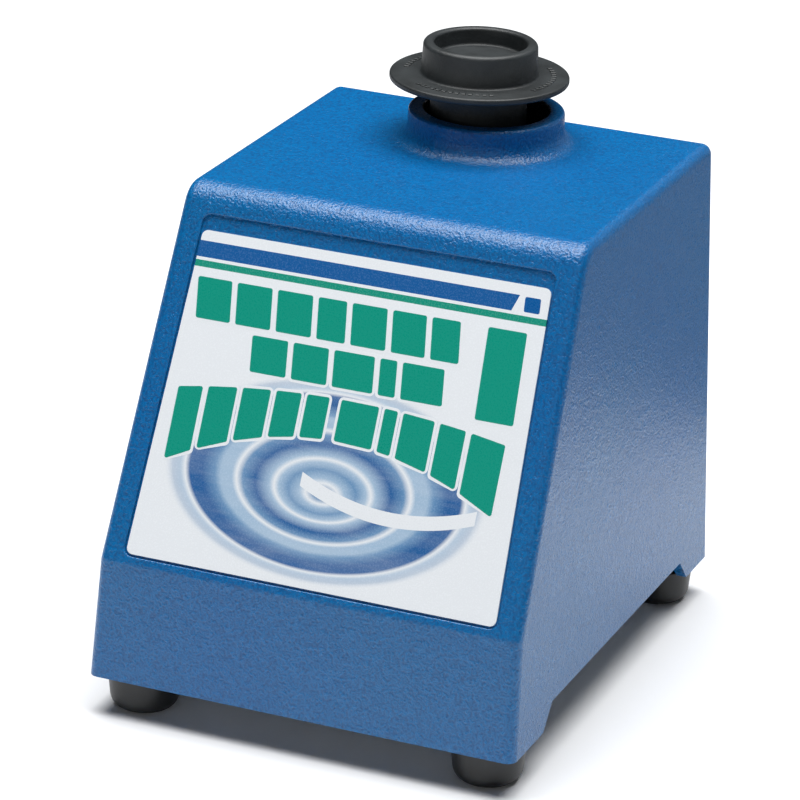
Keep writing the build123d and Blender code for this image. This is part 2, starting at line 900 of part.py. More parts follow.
def shading_rings():
    """Closed copper ring round one tip of each pole."""
    rings = []
    mid_z = (stack_bottom_z + stack_top_z) / 2
    inner_height = stack_top_z - stack_bottom_z
    for side in (-1, 1):
        near_y, far_y = shading_legs(side)
        mid_y = (near_y + far_y) / 2
        span = abs(far_y - near_y)
        ring = Box(shading_width, span + shading_strip, inner_height + 2 * shading_strip)
        ring -= Box(2 * shading_width, span - shading_strip, inner_height)
        rings.append(Pos(side * shading_x, mid_y, mid_z) * ring)
    return group(rings)


def limb_box(length, margin):
    """Box round the coil limb, larger than it by margin on four sides."""
    depth = window_front_y - stack_front_y + 2 * margin
    height = stack_top_z - stack_bottom_z + 2 * margin
    return Box(length, depth, height)


def limb_place():
    return Pos(0, (stack_front_y + window_front_y) / 2, (stack_bottom_z + stack_top_z) / 2)


def coil_bobbin():
    """Moulded bobbin on the coil limb, with two flanges."""
    bobbin = limb_box(2 * coil_half_x, bobbin_wall)
    flange = limb_box(bobbin_flange, bobbin_wall + coil_build)
    flange = fillet(flange.edges().filter_by(Axis.X), 3)
    for sx in (-1, 1):
        bobbin += Pos(sx * (coil_half_x - bobbin_flange / 2), 0, 0) * flange
    return limb_place() * (bobbin - limb_box(4 * coil_half_x, 0.01))


def coil_winding():
    """Taped copper winding between the bobbin's flanges."""
    length = 2 * (coil_half_x - bobbin_flange)
    coil = limb_box(length, coil_build)
    coil = fillet(coil.edges().filter_by(Axis.X), 6)
    return limb_place() * (coil - limb_box(2 * length, bobbin_wall))


def terminal_tabs():
    """Identical tinned tabs: two on the bobbin and three on the end of the switch."""
    tabs = []
    bobbin_front = stack_front_y - coil_build
    for sx in (-1, 1):
        tabs.append(Pos(sx * coil_tab_x, bobbin_front - tab_length / 2, coil_tab_z) * terminal_tab())
    for z in switch_tab_zs:
        tabs.append(Pos(0, switch_front_y - tab_length / 2, z) * terminal_tab())
    return group(tabs)


def terminal_tab():
    return Box(2 * tab_half_width, tab_length, 2 * tab_half_thickness)


def bearing_bracket(seat_z, way):
    """Hat-shaped steel bracket across the bore that holds a sleeve bearing."""
    half = main_bolt_x + 5
    z0 = seat_z
    z1 = seat_z + way * bracket_sheet
    z2 = seat_z + way * bracket_rise
    z3 = z2 - way * bracket_sheet
    outline = Plane.XZ * make_face(Polyline(
        (-half, z0), (-19.5, z0), (-16.5, z3), (16.5, z3), (19.5, z0), (half, z0),
        (half, z1), (20.4, z1), (17.4, z2), (-17.4, z2), (-20.4, z1), (-half, z1), close=True,
    ))
    bracket = Pos(0, shaft_y, 0) * extrude(outline, bracket_half_y, both=True)
    bracket -= through(0, shaft_y, bush_radius)
    for sx in (-1, 1):
        bracket -= through(sx * main_bolt_x, shaft_y, bolt_radius)
    return bracket


def sleeve_bearings():
    """Two identical sintered sleeves."""
    bore = shaft_radius + running_clearance
    return group(tube(0, shaft_y, z, z + bush_length, bush_radius, bore) for z in (lower_bush_z, upper_bush_z))


def motor_spacers():
    """Tubes that hold the stack below the motor plate."""
    spacers = []
    for x, y in bolt_places():
        base = stack_top_z + (bracket_sheet if abs(y - shaft_y) < 1 else 0)
        spacers.append(tube(x, y, base, plate_z, 3.6, bolt_radius))
    return group(spacers)


def motor_bolts():
    bolts = []
    for x, y in bolt_places():
        seat = stack_bottom_z - (bracket_sheet if abs(y - shaft_y) < 1 else 0)
        bolts.append(pan_screw(x, y, seat, plate_z + plate_thickness + 4 - seat, bolt_radius, 3.0, 2.2))
    return group(bolts)


def motor_nuts():
    nuts = []
    for x, y in bolt_places():
        z = plate_z + plate_thickness
        nut = Pos(x, y, z) * extrude(RegularPolygon(3.2, 6), 2.6)
        nuts.append(nut - through(x, y, bolt_radius))
    return group(nuts)


def motor_plate():
    """Steel plate that carries the motor, with lightening holes."""
    top = plate_z + plate_thickness
    plate = block((-plate_half_x, plate_front_y, plate_z), (plate_half_x, plate_back_y, top))
    plate = fillet(plate.edges().filter_by(Axis.Z), 6)
    plate -= through(0, shaft_y, 10.0)
    window = extrude(RectangleRounded(26, 28, 3), 5, both=True)
    plate -= Pos(0, 8, plate_z) * window
    for x, y in bolt_places():
        plate -= through(x, y, bolt_radius)
    for x, y in post_places():
        plate -= through(x, y, grommet_neck_radius)
    lightening = extrude(SlotOverall(34, 9, rotation=90), 5, both=True)
    for sx in (-1, 1):
        plate -= Pos(sx * 38, 25, plate_z) * lightening
    return plate


def isolation_grommets():
    """Rubber grommets between the motor plate and the posts."""
    grommets = []
    for x, y in post_places():
        body = rod(x, y, grommet_seat_z, plate_z, grommet_flange_radius)
        body += rod(x, y, plate_z, plate_z + plate_thickness, grommet_neck_radius)
        body += rod(x, y, plate_z + plate_thickness, post_bottom_z, grommet_flange_radius)
        grommets.append(body - through(x, y, 2.0))
    return group(grommets)


def motor_plate_screws():
    """Washer-head screws up through the grommets into the posts."""
    screws = []
    for x, y in post_places():
        washer_z = grommet_seat_z - 1.0
        screw = pan_screw(x, y, washer_z, 18, 2.0, 3.6, 2.6)
        screws.append(screw + tube(x, y, washer_z, grommet_seat_z, 5.5, 1.9))
    return group(screws)


def guide_plate():
    """Fixed plate with two lined holes that keep the head from turning."""
    low = guide_plate_z
    high = guide_plate_z + guide_plate_thickness
    plate = block((-guide_plate_half_x, shaft_y - guide_plate_half_y, low),
                  (guide_plate_half_x, shaft_y + guide_plate_half_y, high))
    plate = fillet(plate.edges().filter_by(Axis.Z), 5)
    plate -= through(0, shaft_y, 9.0)
    for sx in (-1, 1):
        plate -= through(sx * guide_pin_offset, shaft_y, guide_bush_radius)
        plate -= through(sx * guide_screw_x, shaft_y, 1.6)
    return plate


def guide_bushes():
    """Rubber linings of the guide holes."""
    bore = guide_pin_radius + orbit_radius + guide_clearance
    low = guide_plate_z
    high = guide_plate_z + guide_plate_thickness
    return group(tube(sx * guide_pin_offset, shaft_y, low, high, guide_bush_radius, bore) for sx in (-1, 1))


def ball_place():
    """Centre of the thrust ball, just below the end of the shaft."""
    return Pos(0, shaft_y, shaft_bottom_z - thrust_ball_radius - ball_gap)


def thrust_ball():
    return ball_place() * Sphere(thrust_ball_radius)


def thrust_plunger():
    """Plunger under the shaft: stem, wide flange and a seat for the ball."""
    plunger = rod(0, shaft_y, plunger_bottom_z, plunger_flange_z, plunger_stem_radius)
    flange = rod(0, shaft_y, plunger_flange_z, plunger_flange_z + 2.0, plunger_flange_radius)
    plunger += fillet(flange.edges().filter_by(GeomType.CIRCLE), 0.4)
    plunger += rod(0, shaft_y, plunger_flange_z, plunger_top_z, plunger_boss_radius)
    return plunger - ball_place() * Sphere(thrust_ball_radius + ball_gap)


def thrust_guide():
    """Flanged guide on the bottom plate in which the plunger slides."""
    flange = extrude(SlotOverall(guide_flange_length, guide_flange_width), guide_flange_thickness)
    guide = Pos(0, shaft_y, bottom_plate_top_z) * flange
    guide += rod(0, shaft_y, bottom_plate_top_z, bottom_plate_top_z + guide_barrel_height, guide_barrel_radius)
    guide -= through(0, shaft_y, plunger_stem_radius + running_clearance)
    for x, y in guide_screw_places():
        guide -= through(x, y, base_screw_radius)
    return guide


def return_spring():
    """Compression spring between the guide and the plunger's flange."""
    low = bottom_plate_top_z + guide_flange_thickness + spring_wire
    high = plunger_flange_z - spring_wire
    height = high - low
    path = Helix(pitch=height / spring_turns, height=height, radius=spring_radius)
    profile = Plane(origin=path @ 0, z_dir=path % 0) * Circle(spring_wire)
    return Pos(0, shaft_y, low) * sweep(profile, path=path, is_frenet=True)


def switch_cross_holes():
    """Cutters for the two screws across the switch."""
    return [crosswise(0, y, switch_cross_z, 20, switch_cross_radius) for y in switch_cross_ys]


def switch_body():
    """Miniature snap switch with ears for the lever's pin."""
    top_z = switch_bottom_z + switch_height
    low = (-switch_half_x, switch_front_y, switch_bottom_z)
    high = (switch_half_x, switch_front_y + switch_length, top_z)
    body = fillet(block(low, high).edges().filter_by(Axis.X), 0.8)
    ear = Box(0.9, 2.4, lever_pivot_z + 2.0 - top_z)
    for sx in (-1, 1):
        body += Pos(sx * (switch_half_x - 0.45), lever_pivot_y, (lever_pivot_z + top_z) / 2) * ear
    body -= crosswise(0, lever_pivot_y, lever_pivot_z, 20, lever_pin_radius + 0.05)
    body -= rod(0, lever_pivot_y + button_reach, 24, 40, button_radius + 0.1)
    for hole in switch_cross_holes():
        body -= hole
    return body


def switch_button():
    button = rod(0, lever_pivot_y + button_reach, 27.5, button_top_z, button_radius)
    return fillet(button.edges().group_by(Axis.Z)[-1], 0.3)


def lever_frame():
    """Lever's own frame: origin on its pivot, Y along the blade at rest."""
    return Pos(0, lever_pivot_y, lever_pivot_z) * Rot(lever_tilt, 0, 0)


def switch_lever():
    """Spring-steel blade with its pivot pin and a fork for the roller."""
    half_sheet = lever_sheet / 2
    fork_start = roller_reach - 5.0
    blade = block((-1.7, 0, -half_sheet), (1.7, roller_reach - 3.0, half_sheet))
    blade += crosswise(0, 0, 0, 2 * switch_half_x, lever_pin_radius)
    cheek = block((-0.2, fork_start, -half_sheet), (0.2, roller_reach + 1.0, roller_lift + 0.9))
    for sx in (-1, 1):
        blade += Pos(sx * 1.9, 0, 0) * cheek
    blade -= crosswise(0, roller_reach, roller_lift, 10, roller_pin_radius)
    return lever_frame() * blade


def switch_roller():
    """Roller with its pin, in the lever's fork."""
    roller = crosswise(0, roller_reach, roller_lift, 2.8, roller_radius)
    roller += crosswise(0, roller_reach, roller_lift, 4.6, roller_pin_radius)
    return lever_frame() * roller


def switch_bracket():
    """Angle bracket that carries the switch on the bottom plate."""
    inner_x = switch_half_x
    outer_x = inner_x + switch_bracket_sheet
    base_z = bottom_plate_top_z
    bracket = block((inner_x, 12, base_z), (outer_x, 30, 29.5))
    bracket += block((inner_x, 12, base_z), (12, 30, base_z + switch_bracket_sheet))
    for x, y in bracket_screw_places():
        bracket -= through(x, y, base_screw_radius)
    for hole in switch_cross_holes():
        bracket -= hole
    return bracket


def switch_screws():
    """Two cross screws through the switch and its bracket."""
    screws = []
    length = 2 * switch_half_x + switch_bracket_sheet + 0.8
    for y in switch_cross_ys:
        shank = crosswise(length / 2 - switch_half_x, y, switch_cross_z, length, switch_cross_radius)
        head = crosswise(-switch_half_x - 0.6, y, switch_cross_z, 1.2, 2.0)
        screws.append(shank + head)
    return group(screws)


def power_inlet():
    """Appliance inlet: flange, body and the cavity for a connector."""
    flange_back = inlet_pocket_y + inlet_flange_thickness
    flange = inlet_block(inlet_flange_half_x, inlet_flange_half_z, inlet_pocket_y, flange_back)
    flange = fillet(flange.edges().filter_by(Axis.Y), 3)
    body = inlet_block(inlet_body_half_x, inlet_body_half_z, inlet_pocket_y - inlet_body_depth, inlet_pocket_y)
    cavity = inlet_block(inlet_cavity_half_x, inlet_cavity_half_z, flange_back - inlet_cavity_depth,
                         flange_back + 5)
    upper = [e for e in cavity.edges().filter_by(Axis.Y) if e.center().Z > inlet_z]
    inlet = flange + body - chamfer(upper, 4.0)
    for sx in (-1, 1):
        inlet -= fore_and_aft(inlet_x + sx * inlet_screw_x, inlet_pocket_y, inlet_z, 16, 1.5)
    for x, z in inlet_pin_places():
        inlet -= inlet_blade(x, z, flange_back)
    return inlet


def inlet_blade(x, z, y_high):
    """Flat pin of the inlet, from its rear tab to y_high."""
    low = (x - pin_half_width, tab_end_y, z - pin_half_height)
    return block(low, (x + pin_half_width, y_high, z + pin_half_height))


def inlet_pin_places():
    """Line, neutral and earth pins."""
    return [(inlet_x - 7, inlet_z - 2), (inlet_x + 7, inlet_z - 2), (inlet_x, inlet_z + 2)]


def inlet_pins():
    tip_y = inlet_pocket_y + inlet_flange_thickness - pin_recess
    pins = []
    for x, z in inlet_pin_places():
        blade = inlet_blade(x, z, tip_y)
        pins.append(chamfer(blade.faces().sort_by(Axis.Y)[-1].edges(), 0.5))
    return group(pins)


def inlet_screws():
    """Screws through the inlet's flange into the pad."""
    seat = inlet_pocket_y + inlet_flange_thickness
    screws = []
    for sx in (-1, 1):
        x = inlet_x + sx * inlet_screw_x
        screw = fore_and_aft(x, seat - 3.5, inlet_z, 7, 1.5)
        screw += fore_and_aft(x, seat + 0.7, inlet_z, 1.4, 2.7)
        screw -= Pos(x, seat + 1.2, inlet_z) * (Box(3.0, 1.0, 0.7) + Box(0.7, 1.0, 3.0))
        screws.append(screw)
    return group(screws)


def lead(points, radius):
    """Insulated lead along straight runs joined by arcs."""
    path = FilletPolyline(*points, radius=radius)
    profile = Plane(origin=path @ 0, z_dir=path % 0) * Circle(lead_radius)
    return sweep(profile, path=path)


def supply_leads():
    """Line to the switch, and neutral to the coil."""
    line_pin, neutral_pin, _ = inlet_pin_places()
    switch_end = (0, switch_front_y - tab_length, switch_tab_zs[0])
    coil_end = (coil_tab_x, stack_front_y - coil_build - tab_length, coil_tab_z)
    line = lead([(line_pin[0], tab_end_y, line_pin[1]), (22, 18, 34), (14, -4, 28), (0, -8, 22.8),
                 switch_end], 5)
    neutral = lead([(neutral_pin[0], tab_end_y, neutral_pin[1]), (36, 4, 34), (30, -30, 50), (8, -34, 58),
                    coil_end], 6)
    return group([line - terminal_tabs(), neutral - terminal_tabs()])


def motor_lead():
    """Switch to the coil's other tab."""
    switch_end = (0, switch_front_y - tab_length, switch_tab_zs[2])
    coil_end = (-coil_tab_x, stack_front_y - coil_build - tab_length, coil_tab_z)
    wire = lead([switch_end, (0, -12, 28.8), (-8, -30, 42), (-8, -34, 58), coil_end], 5)
    return wire - terminal_tabs()


def earth_lead():
    """Inlet to the stud on the bottom plate, with its ring tag."""
    x, y = earth_stud_x, earth_stud_y
    tag_z = bottom_plate_top_z
    _, _, earth_pin = inlet_pin_places()
    wire = lead([(earth_pin[0], tab_end_y, earth_pin[1]), (29, 30, 38), (x, y + 16, 23),
                 (x, y + 5.2, tag_z + lead_radius)], 5)
    tag = tube(x, y, tag_z, tag_z + tag_thickness, 4.0, 2.0)
    tag += block((x - 1.8, y + 3.0, tag_z), (x + 1.8, y + 6.5, tag_z + tag_thickness))
    return wire + tag


def earth_stud():
    """Stud and nut that bond the earth lead to the bottom plate."""
    nut_z = bottom_plate_top_z + tag_thickness
    stud = rod(earth_stud_x, earth_stud_y, bottom_plate_z, nut_z + 6, 2.0)
    return stud + Pos(earth_stud_x, earth_stud_y, nut_z) * extrude(RegularPolygon(4.0, 6), 3.2)


def all_nodes():
    """Every node of the mixer by name."""
    nodes = {
        "housing": housing(),
        "front_label": front_label(),
        "bottom_plate": bottom_plate(),
        "foot_screws": foot_screws(),
        "m3_screws": m3_screws(),
        "base_screws": base_screws(),
        "mixing_cup": mixing_cup(),
        "head_hub": head_hub(),
        "guide_pins": guide_pins(),
        "bearing_inner_rings": bearing_inner_rings(),
        "bearing_balls": bearing_balls(),
        "bearing_outer_rings": bearing_outer_rings(),
        "bearing_spacer": bearing_spacer(),
        "head_retaining_ring": head_retaining_ring(),
        "stud_circlip": stud_circlip(),
        "eccentric_hub": eccentric_hub(),
        "counterweight": counterweight(),
        "set_screw": set_screw(),
        "motor_shaft": motor_shaft(),
        "rotor_core": rotor_core(),
        "rotor_end_rings": rotor_end_rings(),
        "thrust_washer": thrust_washer(),
        "cooling_fan": cooling_fan(),
        "stator_stack": stator_stack(),
        "shading_rings": shading_rings(),
        "coil_bobbin": coil_bobbin(),
        "coil_winding": coil_winding(),
        "terminal_tabs": terminal_tabs(),
        "upper_bearing_bracket": bearing_bracket(stack_top_z, 1),
        "lower_bearing_bracket": bearing_bracket(stack_bottom_z, -1),
        "sleeve_bearings": sleeve_bearings(),
        "motor_spacers": motor_spacers(),
        "motor_bolts": motor_bolts(),
        "motor_nuts": motor_nuts(),
        "motor_plate": motor_plate(),
        "isolation_grommets": isolation_grommets(),
        "motor_plate_screws": motor_plate_screws(),
        "guide_plate": guide_plate(),
        "guide_bushes": guide_bushes(),
        "thrust_ball": thrust_ball(),
        "thrust_plunger": thrust_plunger(),
        "thrust_guide": thrust_guide(),
        "return_spring": return_spring(),
        "switch_body": switch_body(),
        "switch_button": switch_button(),
        "switch_lever": switch_lever(),
        "switch_roller": switch_roller(),
        "switch_bracket": switch_bracket(),
        "switch_screws": switch_screws(),
        "power_inlet": power_inlet(),
        "inlet_pins": inlet_pins(),
        "inlet_screws": inlet_screws(),
        "supply_leads": supply_leads(),
        "motor_lead": motor_lead(),
        "earth_lead": earth_lead(),
        "earth_stud": earth_stud(),
    }
    for name, (x, y) in foot_places().items():
        nodes[name] = foot(x, y)
    return nodes


os.makedirs("parts", exist_ok=True)
for node_name, shape in all_nodes().items():
    export_step(shape, f"parts/{node_name}.step")
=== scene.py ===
import json
import math

import bmesh
import bpy
from mathutils import Matrix, Vector


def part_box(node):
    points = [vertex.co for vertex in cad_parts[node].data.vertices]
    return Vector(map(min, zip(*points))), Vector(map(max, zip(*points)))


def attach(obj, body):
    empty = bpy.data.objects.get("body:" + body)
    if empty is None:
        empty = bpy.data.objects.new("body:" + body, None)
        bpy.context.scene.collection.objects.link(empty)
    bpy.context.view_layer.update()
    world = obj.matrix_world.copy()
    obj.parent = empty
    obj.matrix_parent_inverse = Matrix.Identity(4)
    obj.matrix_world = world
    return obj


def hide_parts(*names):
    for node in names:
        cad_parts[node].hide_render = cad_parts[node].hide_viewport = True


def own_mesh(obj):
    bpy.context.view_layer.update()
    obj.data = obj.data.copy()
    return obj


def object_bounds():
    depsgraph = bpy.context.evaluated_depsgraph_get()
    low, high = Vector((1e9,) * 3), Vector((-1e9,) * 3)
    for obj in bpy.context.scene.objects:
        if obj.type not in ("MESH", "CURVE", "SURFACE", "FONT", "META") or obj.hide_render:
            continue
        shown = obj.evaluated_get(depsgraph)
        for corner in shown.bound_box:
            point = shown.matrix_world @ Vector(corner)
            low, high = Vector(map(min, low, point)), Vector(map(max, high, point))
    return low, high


# Looks for a touch-action vortex mixer, in the frame's own axes. Lengths are in metres, apart from those that
# a comment or a docstring gives in millimetres, which are multiplied by MM where they are used.

MM = 0.001

# Camera: place, then yaw, pitch and roll in degrees.
CAMERA_AT = (0.4107, -1.0304, 0.5077)
CAMERA_TURN = (21.82, 21.32, 2.14)
LENS_LENGTH = 194.85
SENSOR_WIDTH = 36
SHIFT_X = -0.01375
CLIP_NEAR, CLIP_FAR = 0.05, 50

# Lights: place, target, size and power in watts.
LIGHTS = {
    "overhead_box": ((-0.02, 0.08, 1.25), (0, 0.02, 0.1), (1.3, 0.9), 32),
    "front_fill": ((0.9, -2.0, 1.0), (0, 0, 0.08), (2.0, 1.2), 4),
    "front_strip": ((-0.75, -1.95, 0.32), (0, 0, 0.06), (1.2, 0.10), 2.5),
}
ROOM_COLOUR = (0.86, 0.92, 1.0, 1)
ROOM_STRENGTH = 0.02

# Studio flag: middle of its foot on the floor, direction along it, half its length, lower and upper edges.
FLAG_AT = (0.205, 0.150)
FLAG_ALONG = (0.928, -0.371, 0)
FLAG_HALF_LENGTH = 0.2
FLAG_LOW, FLAG_HIGH = 0.002, 0.35
FLOOR_HALF_SIZE = 6.0

# Housing: inside this radius round the shaft the collar's bore is painted near black, a painted shade for the
# shadow deep in the bore.
BORE_SHADE_RADIUS = 17.9 * MM

# Label print: places below the label's top edge, the share of the half width where the band ends, the ripple,
# and the height of the zone where the label's top width is read.
BAND_TOP, BAND_LOW = 2.9 * MM, 7.3 * MM
STRIPE_TOP, STRIPE_LOW = 8.15 * MM, 9.95 * MM
BAND_END = 0.854
BAND_SLANT = -0.35
RIPPLE_AT = (-1.5 * MM, -19.5 * MM)
RIPPLE_SIZE = (46.0 * MM, 27.0 * MM)
RIPPLE_SAG = -0.16
EDGE_ZONE = 2.5 * MM

# Ink films: how far they reach under and over the label's face, and how round their blocks are.
INK_UNDER = -0.01 * MM
INK_THIN, INK_THICK = 0.012 * MM, 0.03 * MM
BLOCK_ROUND, TAG_ROUND = 0.6 * MM, 0.5 * MM
KEYLINE = 0.75 * MM

# Ribbon, in millimetres: half height, start and length along the label.
RIBBON_HALF_HEIGHT = 1.9
RIBBON_START, RIBBON_LENGTH = -8.0, 50.0
RIBBON_STEPS = 28

# Cup, in millimetres: radii, and depths below the rim.
RECESS_RADIUS, RECESS_DEPTH = 12.9, 5.0
RIM_RADIUS, WALL_BASE_RADIUS = 15.9, 16.3
FLANGE_TOP, FLANGE_UNDER = 9.2, 11.0
NECK_RADIUS = 13.5
SOCKET_RADIUS, SOCKET_TOP = 9.3, 15.0

# Raised bars on the cup's flange: ring radius, half sizes and height, then three arcs of bars in degrees.
TICK_RING = 20.6 * MM
TICK_SIZE = (0.75 * MM, 0.55 * MM, 0.3 * MM)
TICK_SINK = 0.05 * MM
TICK_ARCS = (128, 238, 338)
TICK_STEP, TICKS_PER_ARC = 5.2, 13

# Feet, in millimetres.
FOOT_RECESS_RADIUS, FOOT_RECESS_DEPTH = 3.7, 5.5
FOOT_TREAD_RADIUS, FOOT_TREAD_ROUND = 9.1, 3.9
FOOT_HOLE_RADIUS = 2.1

# Return spring.
SPRING_WIRE = 0.5 * MM
SPRING_TURNS = 5

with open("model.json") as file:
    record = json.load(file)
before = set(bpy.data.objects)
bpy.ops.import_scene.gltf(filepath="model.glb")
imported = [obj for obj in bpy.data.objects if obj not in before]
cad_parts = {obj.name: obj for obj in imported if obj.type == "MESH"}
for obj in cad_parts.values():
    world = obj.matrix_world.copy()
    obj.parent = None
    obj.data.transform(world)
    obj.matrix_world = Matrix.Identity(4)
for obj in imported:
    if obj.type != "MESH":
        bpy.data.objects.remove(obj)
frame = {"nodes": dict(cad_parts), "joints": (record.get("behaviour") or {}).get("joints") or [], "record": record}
cad_low, cad_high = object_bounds()
nodes = frame["nodes"]
record = frame["record"]
joint_at = {j["name"]: Vector(j["pos_m"]) for j in frame["joints"] if "pos_m" in j}
slot_of = {s["node"]: s["material_slot"] for s in record["subparts"]}
head_axis = joint_at["head_counter_spin"]
shaft_axis = joint_at["motor_spin"]


# ---------------------------------------------------------------- camera, floor and light

def aim_camera():
    """Long lens from the front right, a little above."""
    yaw, pitch, roll = (math.radians(a) for a in CAMERA_TURN)
    back = Vector((math.sin(yaw) * math.cos(pitch), -math.cos(yaw) * math.cos(pitch), math.sin(pitch)))
    level = Vector((math.cos(yaw), math.sin(yaw), 0))
    upright = back.cross(level)
    right = math.cos(roll) * level + math.sin(roll) * upright
    up = math.cos(roll) * upright - math.sin(roll) * level
    data = bpy.data.cameras.new("camera")
    data.lens = LENS_LENGTH
    data.sensor_width = SENSOR_WIDTH
    data.shift_x = SHIFT_X
    data.clip_start = CLIP_NEAR
    data.clip_end = CLIP_FAR
    camera = bpy.data.objects.new("camera", data)
    bpy.context.scene.collection.objects.link(camera)
    turn = Matrix((right, up, back)).transposed().to_4x4()
    camera.matrix_world = Matrix.Translation(CAMERA_AT) @ turn
    bpy.context.scene.camera = camera


def area_light(name, place, target, size, power):
    """Soft rectangular light aimed at a point."""
    data = bpy.data.lights.new(name, "AREA")
    data.shape = "RECTANGLE"
    data.size, data.size_y = size
    data.energy = power
    light = bpy.data.objects.new(name, data)
    bpy.context.scene.collection.objects.link(light)
    aim = Vector(target) - Vector(place)
    light.rotation_mode = "QUATERNION"
    light.rotation_quaternion = aim.to_track_quat("-Z", "Y")
    light.location = place


def light_studio():
    """Soft overhead box, a dim room, a broad weak fill and a low strip from the front."""
    for name, (place, target, size, power) in LIGHTS.items():
        area_light(name, place, target, size, power)
    world = bpy.data.worlds.new("room")
    world.use_nodes = True
    background = world.node_tree.nodes["Background"]
    background.inputs["Color"].default_value = ROOM_COLOUR
    background.inputs["Strength"].default_value = ROOM_STRENGTH
    bpy.context.scene.world = world
    bpy.context.scene.view_settings.view_transform = "Standard"


# ---------------------------------------------------------------- materials

def paint(r, g, b):
    """Linear colour of an sRGB triple given in 0 to 255."""
    def channel(c):
        c /= 255
        return c / 12.92 if c <= 0.04045 else ((c + 0.055) / 1.055) ** 2.4
    return (channel(r), channel(g), channel(b), 1.0)


def toned(colour, tone):
    """A colour with its three channels scaled and its alpha left at one."""
    return tuple(tone * c for c in colour[:3]) + (1.0,)


LABEL_WHITE = paint(226, 230, 234)
LABEL_BLUE = paint(12, 86, 150)


class Look:
    """A Principled material fed by textures in the part's own coordinates."""

    def __init__(self, name, **fixed):
        self.material = bpy.data.materials.new(name)
        self.material.use_nodes = True
        self.tree = self.material.node_tree
        self.tree.nodes.clear()
        output = self.tree.nodes.new("ShaderNodeOutputMaterial")
        self.shader = self.tree.nodes.new("ShaderNodeBsdfPrincipled")
        self.tree.links.new(self.shader.outputs["BSDF"], output.inputs["Surface"])
        self.place = self.tree.nodes.new("ShaderNodeTexCoord").outputs["Object"]
        for name, value in fixed.items():
            self.feed(self.shader.inputs[name.replace("_", " ")], value)

    def feed(self, socket, value):
        """Link a socket to another one, or set its value."""
        if isinstance(value, bpy.types.NodeSocket):
            self.tree.links.new(value, socket)
        else:
            socket.default_value = value

    def colour(self, value):
        self.feed(self.shader.inputs["Base Color"], value)

    def roughness(self, value):
        self.feed(self.shader.inputs["Roughness"], value)

    def node(self, kind, inputs, output=0, **settings):
        """New shader node with its inputs fed; gives one of its outputs."""
        made = self.tree.nodes.new(kind)
        for name, value in settings.items():
            setattr(made, name, value)
        for key, value in inputs.items():
            self.feed(made.inputs[key], value)
        return made.outputs[output]

    def noise(self, scale, detail=2.0, rough=0.5, place=None):
        return self.node("ShaderNodeTexNoise", {
            "Vector": place or self.place, "Scale": scale, "Detail": detail, "Roughness": rough,
        })

    def stretched(self, x, y, z):
        """The part's coordinates scaled by a different amount along each axis."""
        return self.node("ShaderNodeMapping", {"Vector": self.place, "Scale": (x, y, z)})

    def maths(self, kind, a, b=0.0, c=0.0):
        return self.node("ShaderNodeMath", {0: a, 1: b, 2: c}, operation=kind)

    def vector(self, kind, a, b=(0, 0, 0), output=0):
        return self.node("ShaderNodeVectorMath", {0: a, 1: b}, output, operation=kind)

    def span(self, value, low, high, to_low=0.0, to_high=1.0):
        """value from low..high brought to to_low..to_high, and held at the ends."""
        return self.node("ShaderNodeMapRange", {
            "Value": value, "From Min": low, "From Max": high, "To Min": to_low, "To Max": to_high,
        })

    def mix(self, share, a, b, kind="MIX"):
        made = self.tree.nodes.new("ShaderNodeMix")
        made.data_type = "RGBA"
        made.blend_type = kind
        self.feed(made.inputs["Factor"], share)
        self.feed(made.inputs[6], a)
        self.feed(made.inputs[7], b)
        return made.outputs[2]

    def ramp(self, value, stops):
        """Colour that follows a value through (position, colour) stops."""
        made = self.tree.nodes.new("ShaderNodeValToRGB")
        points = made.color_ramp.elements
        while len(points) < len(stops):
            points.new(0.5)
        for point, (position, colour) in zip(points, stops):
            point.position = position
            point.color = colour
        self.feed(made.inputs["Fac"], value)
        return made.outputs["Color"]

    def bump(self, height, depth):
        relief = self.node("ShaderNodeBump", {"Height": height, "Distance": depth})
        self.feed(self.shader.inputs["Normal"], relief)


def powder_coat():
    """Blue powder coat with a fine pebbled skin whose hollows carry painted shade; the collar's bore is painted
    near black as painted shade.
    """
    look = Look("powder_coat_blue", Specular_IOR_Level=0.5)
    pebbles = look.noise(1500, 2.0, 0.5)
    swell = look.noise(420, 1.0)
    # Painted shade: the pebbles' hollows, low in the bump, are painted a darker blue than their crowns.
    hollow_shade = look.span(pebbles, 0.30, 0.62)
    shade = look.mix(hollow_shade, paint(0, 76, 126), paint(0, 104, 160))
    drift = look.mix(look.noise(14, 1.0), paint(228, 234, 255), paint(255, 255, 255))
    shade = look.mix(1.0, shade, drift, "MULTIPLY")
    # Painted shade: near black inside the collar's bore, where the shadow falls.
    across = look.vector("MULTIPLY", look.vector("SUBTRACT", look.place, tuple(shaft_axis)), (1, 1, 0))
    reach = look.vector("LENGTH", across, output=1)
    bore_shade = look.maths("LESS_THAN", reach, BORE_SHADE_RADIUS)
    look.colour(look.mix(bore_shade, shade, paint(14, 16, 20)))
    look.roughness(look.span(pebbles, 0.3, 0.7, 0.34, 0.26))
    look.bump(look.maths("MULTIPLY_ADD", swell, 0.7, pebbles), 0.00025)
    return look.material


def rubber(name, dark, pale, roughness, grain_scale, depth, specular=0.4):
    """Moulded rubber with a fine matte skin and a little bloom."""
    look = Look(name, Specular_IOR_Level=specular)
    skin = look.noise(grain_scale, 3.0, 0.6)
    bloom = look.noise(90, 3.0, 0.6)
    shade = look.mix(look.span(bloom, 0.35, 0.7), dark, pale)
    look.colour(look.mix(look.span(skin, 0.3, 0.7, 0.0, 0.25), shade, pale))
    look.roughness(look.span(bloom, 0.3, 0.7, roughness, roughness + 0.08))
    look.bump(skin, depth)
    return look.material


